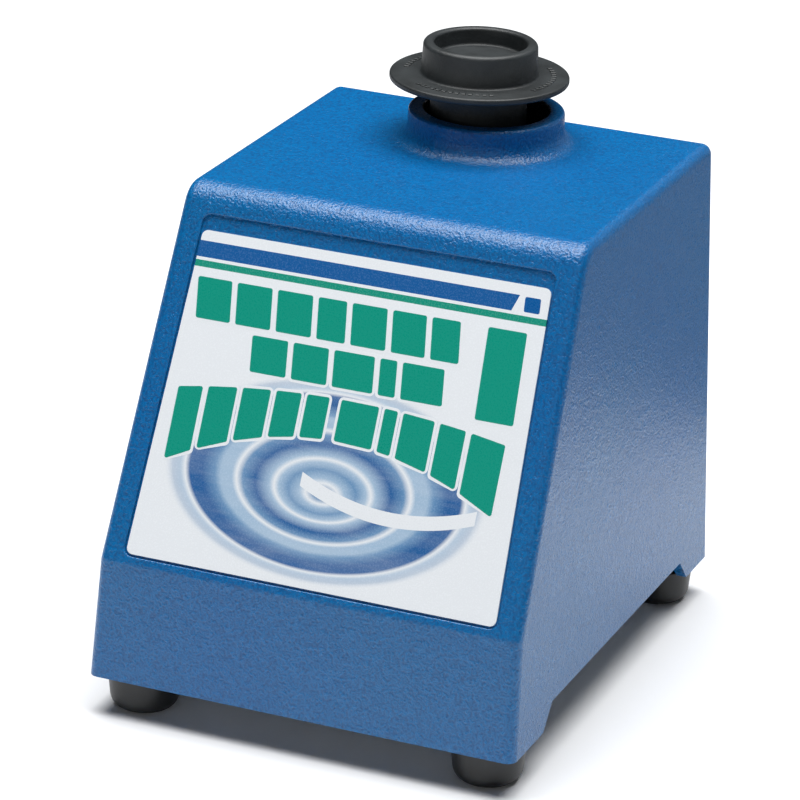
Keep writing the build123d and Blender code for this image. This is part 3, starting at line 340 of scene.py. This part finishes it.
def metal(name, colour, roughness, streak, scale=600.0, depth=0.00001, tone=0.75):
    """Bare metal with tool marks or grain drawn out along an axis."""
    look = Look(name, Metallic=1.0)
    marks = look.noise(scale, 3.0, 0.6, look.stretched(*streak))
    stain = look.noise(60, 3.0, 0.6)
    dull = toned(colour, tone)
    shade = look.mix(look.span(marks, 0.3, 0.7), dull, colour)
    look.colour(look.mix(look.span(stain, 0.4, 0.8, 0.0, 0.35), shade, dull))
    look.roughness(look.span(stain, 0.3, 0.7, roughness - 0.05, roughness + 0.1))
    look.bump(marks, depth)
    return look.material


def plastic(name, colour, roughness, grain_scale=1800.0, depth=0.00001, tone=0.8):
    """Moulded plastic with spark-eroded grain and slow drift in tone."""
    look = Look(name, Specular_IOR_Level=0.5)
    grain = look.noise(grain_scale, 2.0, 0.6)
    drift = look.noise(70, 2.0, 0.5)
    dull = toned(colour, tone)
    shade = look.mix(look.span(drift, 0.3, 0.7), dull, colour)
    look.colour(look.mix(look.span(grain, 0.3, 0.7, 0.0, 0.3), shade, dull))
    look.roughness(look.span(grain, 0.3, 0.7, roughness, roughness + 0.1))
    look.bump(grain, depth)
    return look.material


def laminations():
    """Stacked varnished laminations, half a millimetre each."""
    look = Look("laminated_steel", Metallic=0.8)
    height = look.node("ShaderNodeSeparateXYZ", {0: look.place}, 2)
    edge = look.maths("PINGPONG", height, 0.25 * MM)
    line = look.span(edge, 0.0, 0.00008)
    stain = look.noise(140, 3.0, 0.6)
    shade = look.mix(look.span(stain, 0.3, 0.7), paint(92, 96, 102), paint(132, 136, 142))
    look.colour(look.mix(line, paint(38, 38, 42), shade))
    look.roughness(look.span(stain, 0.3, 0.7, 0.35, 0.55))
    look.bump(line, 0.00006)
    return look.material


def striped_insulation():
    """Green insulation with a yellow stripe wound round it."""
    look = Look("lead_earth", Specular_IOR_Level=0.4)
    wave = look.node("ShaderNodeTexWave", {
        "Vector": look.place, "Scale": 120.0, "Distortion": 0.6, "Detail": 1.0,
    })
    stripe = look.span(wave, 0.5, 0.56)
    grain = look.noise(1500, 2.0)
    shade = look.mix(stripe, paint(30, 120, 40), paint(225, 200, 40))
    look.colour(look.mix(look.span(grain, 0.3, 0.7, 0, 0.2), shade, paint(20, 70, 25)))
    look.roughness(look.span(grain, 0.3, 0.7, 0.4, 0.55))
    look.bump(grain, 0.00002)
    return look.material


def coil_tape():
    """Amber tape wound along the coil, over the ridges of the wire."""
    look = Look("coil_tape", Coat_Weight=0.4)
    ridge = look.noise(1600, 1.0, 0.5, look.stretched(1, 0.02, 0.02))
    laps = look.node("ShaderNodeTexWave", {
        "Vector": look.place, "Scale": 45.0, "Distortion": 0.5, "Detail": 1.0,
    })
    shade = look.mix(look.span(laps, 0.4, 0.6), paint(196, 140, 40), paint(222, 172, 70))
    look.colour(look.mix(look.span(ridge, 0.35, 0.65, 0, 0.5), shade, paint(150, 90, 30)))
    look.roughness(look.span(ridge, 0.3, 0.7, 0.25, 0.4))
    look.bump(ridge, 0.0001)
    return look.material


looks = {
    "housing_paint": powder_coat(),
    "cup_rubber": rubber("cup_rubber", paint(20, 24, 25), paint(38, 43, 45), 0.46, 1500, 0.00008, 0.52),
    "foot_rubber": rubber("foot_rubber", paint(20, 21, 22), paint(34, 36, 37), 0.36, 1700, 0.00003),
    "mount_rubber": rubber("mount_rubber", paint(28, 28, 28), paint(46, 46, 46), 0.6, 1500, 0.00003),
    "plated_steel": metal("plated_steel", paint(196, 200, 196), 0.3, (1, 1, 1), 900),
    "sheet_steel": metal("sheet_steel", paint(182, 186, 190), 0.38, (0.04, 1, 1), 1400),
    "spring_steel": metal("spring_steel", paint(160, 162, 166), 0.28, (1, 1, 0.1), 1200),
    "bearing_steel": metal("bearing_steel", paint(214, 216, 220), 0.12, (0.2, 0.2, 1), 1200, 0.000003, 0.9),
    "turned_steel": metal("turned_steel", paint(176, 178, 182), 0.25, (0.05, 0.05, 1), 2400, 0.00002),
    "laminated_steel": laminations(),
    "counterweight_zinc": metal("counterweight_zinc", paint(150, 152, 154), 0.5, (1, 1, 1), 700, 0.00005),
    "cast_aluminium": metal("cast_aluminium", paint(192, 194, 198), 0.45, (1, 1, 1), 800, 0.00006),
    "copper": metal("copper", paint(200, 118, 78), 0.3, (1, 1, 0.1), 900),
    "coil_tape": coil_tape(),
    "bobbin_nylon": plastic("bobbin_nylon", paint(226, 220, 200), 0.45),
    "bearing_bronze": metal("bearing_bronze", paint(168, 128, 78), 0.45, (1, 1, 1), 2600, 0.00002, 0.7),
    "guide_acetal": plastic("guide_acetal", paint(232, 232, 226), 0.35),
    "fan_plastic": plastic("fan_plastic", paint(34, 34, 37), 0.45),
    "inlet_plastic": plastic("inlet_plastic", paint(24, 24, 26), 0.32, 2200, 0.000015, 0.75),
    "contact_brass": metal("contact_brass", paint(210, 204, 180), 0.25, (1, 0.05, 1), 1500),
    "switch_plastic": plastic("switch_plastic", paint(36, 36, 39), 0.4),
    "button_plastic": plastic("button_plastic", paint(170, 30, 24), 0.3),
    "lead_black": plastic("lead_black", paint(22, 22, 22), 0.45, 1200, 0.00002),
    "lead_earth": striped_insulation(),
}


# ---------------------------------------------------------------- the label's print

def label_plane():
    """Centre of the label's front face, with its across, up and outward directions."""
    mesh = nodes["front_label"].data
    outward = Vector()
    for polygon in mesh.polygons:
        if polygon.normal.y < -0.5 and polygon.normal.z > 0.2:
            outward += polygon.normal * polygon.area
    outward.normalize()
    across = Vector((1, 0, 0))
    up = outward.cross(across).normalized()
    heights = [up.dot(v.co) for v in mesh.vertices]
    level = max(outward.dot(v.co) for v in mesh.vertices)
    middle = (min(heights) + max(heights)) / 2
    return up * middle + outward * level, across, up, outward, (max(heights) - min(heights)) / 2


label_centre, label_across, label_up, label_out, label_half_height = label_plane()

# Half the label's width close to its top edge.
label_top_half = max(
    abs(p.co.x) for p in nodes["front_label"].data.vertices
    if label_up.dot(p.co - label_centre) > label_half_height - EDGE_ZONE
)


def length_of(look, x, y):
    """Length of a vector in the plane."""
    return look.maths("SQRT", look.maths("MULTIPLY_ADD", x, x, look.maths("MULTIPLY", y, y)))


def between(look, value, low, high):
    """One where a value lies between two limits, and nought elsewhere."""
    above = look.maths("GREATER_THAN", value, low)
    below = look.maths("LESS_THAN", value, high)
    return look.maths("MULTIPLY", above, below)


def label_film():
    """Glossy white film printed with a blue band, a green stripe and pale ripples."""
    look = Look("label_film", Coat_Weight=0.3, Coat_Roughness=0.12)
    from_centre = look.vector("SUBTRACT", look.place, tuple(label_centre))
    u = look.vector("DOT_PRODUCT", from_centre, tuple(label_across), 1)
    v = look.vector("DOT_PRODUCT", from_centre, tuple(label_up), 1)
    down = look.maths("SUBTRACT", label_half_height, v)
    band = between(look, down, BAND_TOP, BAND_LOW)
    end = look.maths("MULTIPLY_ADD", down, BAND_SLANT, BAND_END * label_top_half)
    band = look.maths("MULTIPLY", band, look.maths("LESS_THAN", u, end))
    stripe = between(look, down, STRIPE_TOP, STRIPE_LOW)
    x = look.maths("DIVIDE", look.maths("SUBTRACT", u, RIPPLE_AT[0]), RIPPLE_SIZE[0])
    y = look.maths("DIVIDE", look.maths("SUBTRACT", v, RIPPLE_AT[1]), RIPPLE_SIZE[1])
    plain_radius = length_of(look, x, y)
    shifted = look.maths("MULTIPLY_ADD", look.maths("SINE", plain_radius), RIPPLE_SAG, y)
    radius = length_of(look, x, shifted)
    white, pale = LABEL_WHITE, paint(158, 184, 208)
    mid, deep = paint(98, 140, 180), paint(36, 92, 150)
    rings = look.ramp(radius, [
        (0.00, deep), (0.05, mid), (0.10, white), (0.14, pale), (0.21, mid), (0.27, pale), (0.30, white),
        (0.33, pale), (0.42, deep), (0.50, mid), (0.54, white), (0.57, pale), (0.64, pale), (0.68, mid),
        (0.76, deep), (0.84, deep), (0.87, white), (0.90, pale), (0.95, mid), (1.0, white),
    ])
    brush = look.noise(240, 3.0, 0.7, look.stretched(0.15, 1, 1))
    rings = look.mix(look.span(brush, 0.35, 0.7, 0.0, 0.14), rings, white)
    fade = look.span(radius, 0.86, 1.02)
    ground = look.mix(fade, rings, white)
    ground = look.mix(stripe, ground, paint(14, 140, 118))
    ground = look.mix(band, ground, LABEL_BLUE)
    speck = look.noise(2500, 1.0)
    look.colour(look.mix(look.span(speck, 0.3, 0.7, 0, 0.04), ground, paint(200, 205, 212)))
    look.roughness(look.span(speck, 0.3, 0.7, 0.22, 0.3))
    look.bump(look.noise(160, 1.0), 0.00001)
    return look.material


looks["label_film"] = label_film()


def ink(name, colour):
    """Printed ink: even colour with a faint screen grain."""
    look = Look(name, Coat_Weight=0.3, Coat_Roughness=0.12)
    grain = look.noise(2600, 1.0)
    look.colour(look.mix(look.span(grain, 0.3, 0.7, 0, 0.12), colour, toned(colour, 0.8)))
    look.roughness(look.span(grain, 0.3, 0.7, 0.24, 0.34))
    look.bump(grain, 0.000004)
    return look.material


# ---------------------------------------------------------------- mesh building

def add_piece(name, mesh, look, body, smooth=True):
    """Piece from a mesh in frame coordinates, riding on a body."""
    piece = bpy.data.objects.new(name, mesh)
    bpy.context.scene.collection.objects.link(piece)
    mesh.materials.append(look)
    if smooth:
        mesh.shade_smooth()
        mesh.set_sharp_from_angle(angle=math.radians(40))
    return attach(piece, body)


def finish_bmesh(bm, name):
    """Mesh from a bmesh, with every face turned outwards."""
    bmesh.ops.recalc_face_normals(bm, faces=bm.faces)
    mesh = bpy.data.meshes.new(name)
    bm.to_mesh(mesh)
    bm.free()
    return mesh


def bridge(bm, first, second):
    """Band of quads between two closed rings of as many vertices."""
    for k in range(len(first)):
        n = (k + 1) % len(first)
        bm.faces.new((first[k], first[n], second[n], second[k]))


def rounded_profile(corners, steps=6):
    """Corners (r, z, radius) as points, each corner replaced by an arc of its radius."""
    points = []
    count = len(corners)
    for i, (r, z, radius) in enumerate(corners):
        here = Vector((r, z))
        if radius <= 0:
            points.append(here)
            continue
        before = (Vector(corners[i - 1][:2]) - here).normalized()
        after = (Vector(corners[(i + 1) % count][:2]) - here).normalized()
        half = before.angle(after) / 2
        reach = radius / math.tan(half)
        centre = here + (before + after).normalized() * radius / math.sin(half)
        start, end = here + before * reach - centre, here + after * reach - centre
        sweep = start.angle_signed(end)
        for step in range(steps + 1):
            turn = Matrix.Rotation(-sweep * step / steps, 2)
            points.append(centre + turn @ start)
    return points


def lathe(name, corners, centre, segments=160, steps=6):
    """Closed turned mesh from a closed profile of (r, z, radius) corners in millimetres."""
    profile = rounded_profile(corners, steps)
    bm = bmesh.new()
    rings = []
    for point in profile:
        r, z = point.x * MM, point.y * MM
        if r < 1e-7:
            rings.append([bm.verts.new((centre[0], centre[1], z))])
            continue
        rings.append([
            bm.verts.new((
                centre[0] + r * math.cos(2 * math.pi * k / segments),
                centre[1] + r * math.sin(2 * math.pi * k / segments),
                z,
            )) for k in range(segments)
        ])
    for a, b in zip(rings, rings[1:] + rings[:1]):
        for k in range(segments):
            n = (k + 1) % segments
            if len(a) == 1 and len(b) == 1:
                break
            if len(a) == 1:
                bm.faces.new((a[0], b[k], b[n]))
            elif len(b) == 1:
                bm.faces.new((a[k], b[0], a[n]))
            else:
                bm.faces.new((a[k], b[k], b[n], a[n]))
    return finish_bmesh(bm, name)


# ---------------------------------------------------------------- pieces

def print_plate(name, outlines, look, low, high):
    """Thin ink film on the label: outlines in (u, v) metres from the label's centre."""
    bm = bmesh.new()
    for outline in outlines:
        floor, top = [], []
        for u, v in outline:
            place = label_centre + label_across * u + label_up * v
            floor.append(bm.verts.new(place + label_out * low))
            top.append(bm.verts.new(place + label_out * high))
        bm.faces.new(top)
        bm.faces.new(list(reversed(floor)))
        bridge(bm, floor, top)
    piece = add_piece(name, finish_bmesh(bm, name), look, "base", smooth=False)


def soft_block(corners, radius, grow=0.0):
    """Four-cornered outline with rounded corners, grown outwards by an amount."""
    middle = sum((Vector(c) for c in corners), Vector((0, 0))) / len(corners)
    grown = []
    for c in corners:
        away = Vector(c) - middle
        grown.append(Vector(c) + Vector((math.copysign(grow, away.x), math.copysign(grow, away.y))))
    flat = [(p.x, p.y, radius + grow) for p in grown]
    return [tuple(p) for p in rounded_profile(flat, 5)]


def block_row(edges, high_at, low_at, lean=0.0):
    """Blocks between pairs of edges, their tops and bottoms following two curves, in millimetres."""
    blocks = []
    for left, right in edges:
        corners = []
        for u, curve in ((left, low_at), (right, low_at), (right, high_at), (left, high_at)):
            v = label_half_height - curve(u) * MM
            shift = lean if curve is high_at else 0.0
            corners.append(((u + shift) * MM, v))
        blocks.append(corners)
    return blocks


def title_blocks():
    """Plain blocks in three rows and one tall block, measured in millimetres from the label's centre line."""
    upper = block_row(
        (
            (-47.0, -37.0), (-35.4, -25.2), (-23.6, -13.4), (-11.8, -3.6), (-2.0, 8.0), (9.6, 19.2),
            (20.8, 28.8),
        ),
        lambda u: 12.5, lambda u: 23.6, -1.6,
    )
    middle = block_row(
        ((-28.6, -18.2), (-16.6, -6.4), (-4.8, 6.8), (8.4, 13.2), (14.8, 26.6)),
        lambda u: 25.6, lambda u: 35.3, -1.2,
    )
    arched = block_row(
        (
            (-47.8, -40.8), (-39.2, -31.0), (-29.4, -21.4), (-19.8, -12.6), (-11.0, -4.6), (-1.2, 9.6),
            (11.2, 15.0), (16.6, 25.6), (27.2, 34.6), (36.2, 46.0),
        ),
        lambda u: 38.2 + 0.0019 * u * u, lambda u: 49.3 + 0.0057 * u * u,
    )
    tall = block_row(((36.2, 47.0),), lambda u: 12.5, lambda u: 37.0, -1.2)
    return upper + middle + arched + tall


def ribbon_line(u):
    """Height below the label's top, in millimetres, of the middle of the printed ribbon."""
    return 66.9 - 0.0085 * (u - 19) ** 2


def ribbon_outline():
    """Curved ribbon: out along its lower edge and back along its upper one."""
    outline = []
    steps = range(RIBBON_STEPS + 1)
    for side, run in ((RIBBON_HALF_HEIGHT, steps), (-RIBBON_HALF_HEIGHT, reversed(steps))):
        for step in run:
            u = RIBBON_START + RIBBON_LENGTH * step / RIBBON_STEPS
            outline.append((u * MM, label_half_height - (ribbon_line(u) + side) * MM))
    return outline


def make_print():
    """Ink on the label: blocks with a white keyline, a square tag at the band's end and a ribbon."""
    green = ink("ink_green", paint(10, 143, 122))
    white = ink("ink_white", LABEL_WHITE)
    blue = ink("ink_blue", LABEL_BLUE)
    blocks = title_blocks()
    edges = [soft_block(b, BLOCK_ROUND, KEYLINE) for b in blocks]
    print_plate("label_print_keyline", edges, white, INK_UNDER, INK_THIN)
    fills = [soft_block(b, BLOCK_ROUND) for b in blocks]
    print_plate("label_print_blocks", fills, green, INK_UNDER, INK_THICK)
    tag = block_row(((43.6, 48.0),), lambda u: 3.1, lambda u: 7.1, -0.3)
    print_plate("label_print_tag", [soft_block(b, TAG_ROUND) for b in tag], blue, INK_UNDER, INK_THIN)
    print_plate("label_print_ribbon", [ribbon_outline()], white, INK_UNDER, INK_THIN)


def raised_ticks(centre, radius, top, places, size):
    """Low rounded bars that stand on a flat ring, at angles in degrees."""
    bm = bmesh.new()
    half_out, half_round, height = size
    for angle in places:
        out = Vector((math.cos(math.radians(angle)), math.sin(math.radians(angle)), 0))
        along = Vector((-out.y, out.x, 0))
        base = Vector((centre[0], centre[1], top)) + out * radius
        rings = []
        for grow, level in ((1.0, -TICK_SINK), (1.0, 0.6 * height), (0.72, height)):
            lift = Vector((0, 0, level))
            ring = []
            for a, b in ((-1, -1), (1, -1), (1, 1), (-1, 1)):
                place = base + out * (a * half_out * grow) + along * (b * half_round * grow) + lift
                ring.append(bm.verts.new(place))
            rings.append(ring)
        bm.faces.new(list(reversed(rings[0])))
        bm.faces.new(rings[-1])
        for low_ring, high_ring in zip(rings, rings[1:]):
            bridge(bm, low_ring, high_ring)
    return bm


def make_cup():
    """Cup with a tube recess, a thin flange and plain raised bars round it."""
    low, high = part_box("mixing_cup")
    top, bottom = high.z / MM, low.z / MM
    flange_radius = (high.x - low.x) / 2 / MM
    corners = [
        (0, top - RECESS_DEPTH, 0), (RECESS_RADIUS, top - RECESS_DEPTH, 0.9), (RECESS_RADIUS, top, 0.9),
        (RIM_RADIUS, top, 1.3), (WALL_BASE_RADIUS, top - FLANGE_TOP, 0.8),
        (flange_radius, top - FLANGE_TOP, 0.6), (flange_radius, top - FLANGE_UNDER, 0.6),
        (NECK_RADIUS, top - FLANGE_UNDER, 1.5), (NECK_RADIUS, bottom, 1.0),
        (SOCKET_RADIUS, bottom, 0.4), (SOCKET_RADIUS, top - SOCKET_TOP, 0.4), (0, top - SOCKET_TOP, 0),
    ]
    mesh = lathe("cup_moulding", corners, head_axis)
    cup = add_piece("cup_moulding", mesh, looks["cup_rubber"], "cup")
    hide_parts("mixing_cup")
    places = [start + TICK_STEP * k for start in TICK_ARCS for k in range(TICKS_PER_ARC)]
    ticks = raised_ticks(head_axis, TICK_RING, high.z - FLANGE_TOP * MM, places, TICK_SIZE)
    marks = add_piece("cup_ticks", finish_bmesh(ticks, "cup_ticks"), looks["cup_rubber"], "cup", smooth=False)


def make_feet():
    """Bumper feet with a deep screw recess."""
    for corner in ("front_left", "front_right", "rear_left", "rear_right"):
        low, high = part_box("foot_" + corner)
        centre = (low + high) / 2
        wide = (high.x - low.x) / 2 / MM
        top = high.z / MM
        corners = [
            (FOOT_RECESS_RADIUS, 0.0, 0.4), (FOOT_TREAD_RADIUS, 0.0, FOOT_TREAD_ROUND), (wide, top, 0.35),
            (FOOT_HOLE_RADIUS, top, 0), (FOOT_HOLE_RADIUS, FOOT_RECESS_DEPTH, 0),
            (FOOT_RECESS_RADIUS, FOOT_RECESS_DEPTH, 0.3),
        ]
        name = "foot_moulding_" + corner
        foot = add_piece(name, lathe(name, corners, centre, 96, 8), looks["foot_rubber"], "base")
        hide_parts("foot_" + corner)


def make_spring():
    """Return spring: five open turns of round wire."""
    low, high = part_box("return_spring")
    wire = SPRING_WIRE
    height = high.z - low.z
    radius = (high.x - low.x) / 2 - wire
    centre = (low + high) / 2
    steps, sides = 48, 10
    base, rise = low.z + wire, height - 2 * wire
    upward = Vector((0, 0, 1))
    bm = bmesh.new()
    rings = []
    for step in range(SPRING_TURNS * steps + 1):
        angle = 2 * math.pi * step / steps
        out = Vector((math.cos(angle), math.sin(angle), 0))
        middle = Vector((centre.x, centre.y, base + rise * step / (SPRING_TURNS * steps))) + out * radius
        ring = []
        for side in range(sides):
            turn = 2 * math.pi * side / sides
            ring.append(bm.verts.new(middle + wire * (math.cos(turn) * out + math.sin(turn) * upward)))
        rings.append(ring)
    for a, b in zip(rings, rings[1:]):
        for k in range(sides):
            n = (k + 1) % sides
            bm.faces.new((a[k], b[k], b[n], a[n]))
    bm.faces.new(rings[0])
    bm.faces.new(list(reversed(rings[-1])))
    spring = add_piece("return_coil", finish_bmesh(bm, "return_coil"), looks["spring_steel"], "base")
    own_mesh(spring)
    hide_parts("return_spring")


def dress_nodes():
    """Better materials on the CAD nodes that stay."""
    for name, node in nodes.items():
        node.data.materials.clear()
        node.data.materials.append(looks[slot_of[name]])


def make_floor():
    """Plain pale floor under the feet."""
    look = Look("floor_paper", Specular_IOR_Level=0.2)
    fibre = look.noise(30, 4.0, 0.6)
    look.colour(look.mix(fibre, paint(247, 248, 250), paint(251, 252, 253)))
    look.roughness(look.span(fibre, 0.3, 0.7, 0.6, 0.7))
    bm = bmesh.new()
    bmesh.ops.create_grid(bm, x_segments=8, y_segments=8, size=FLOOR_HALF_SIZE)
    mesh = finish_bmesh(bm, "floor")
    floor = bpy.data.objects.new("floor", mesh)
    floor.location.z = cad_low.z
    mesh.materials.append(look.material)
    bpy.context.scene.collection.objects.link(floor)


def make_flag():
    """Grey studio flag to the rear right, seen only in reflections."""
    look = Look("flag_cloth", Specular_IOR_Level=0.1)
    weave = look.noise(400, 2.0)
    look.colour(look.mix(weave, paint(150, 154, 160), paint(166, 170, 176)))
    look.roughness(look.span(weave, 0.3, 0.7, 0.8, 0.9))
    foot, along = Vector((*FLAG_AT, cad_low.z)), Vector(FLAG_ALONG)
    bm = bmesh.new()
    left, right = -FLAG_HALF_LENGTH, FLAG_HALF_LENGTH
    corners = [(left, FLAG_LOW), (right, FLAG_LOW), (right, FLAG_HIGH), (left, FLAG_HIGH)]
    bm.faces.new([bm.verts.new(foot + along * a + Vector((0, 0, z))) for a, z in corners])
    mesh = finish_bmesh(bm, "studio_flag")
    flag = bpy.data.objects.new("studio_flag", mesh)
    mesh.materials.append(look.material)
    bpy.context.scene.collection.objects.link(flag)
    flag.visible_camera = False
    flag.visible_diffuse = False
    flag.visible_shadow = False


aim_camera()
light_studio()
make_floor()
make_flag()
dress_nodes()
make_cup()
make_feet()
make_spring()
make_print()
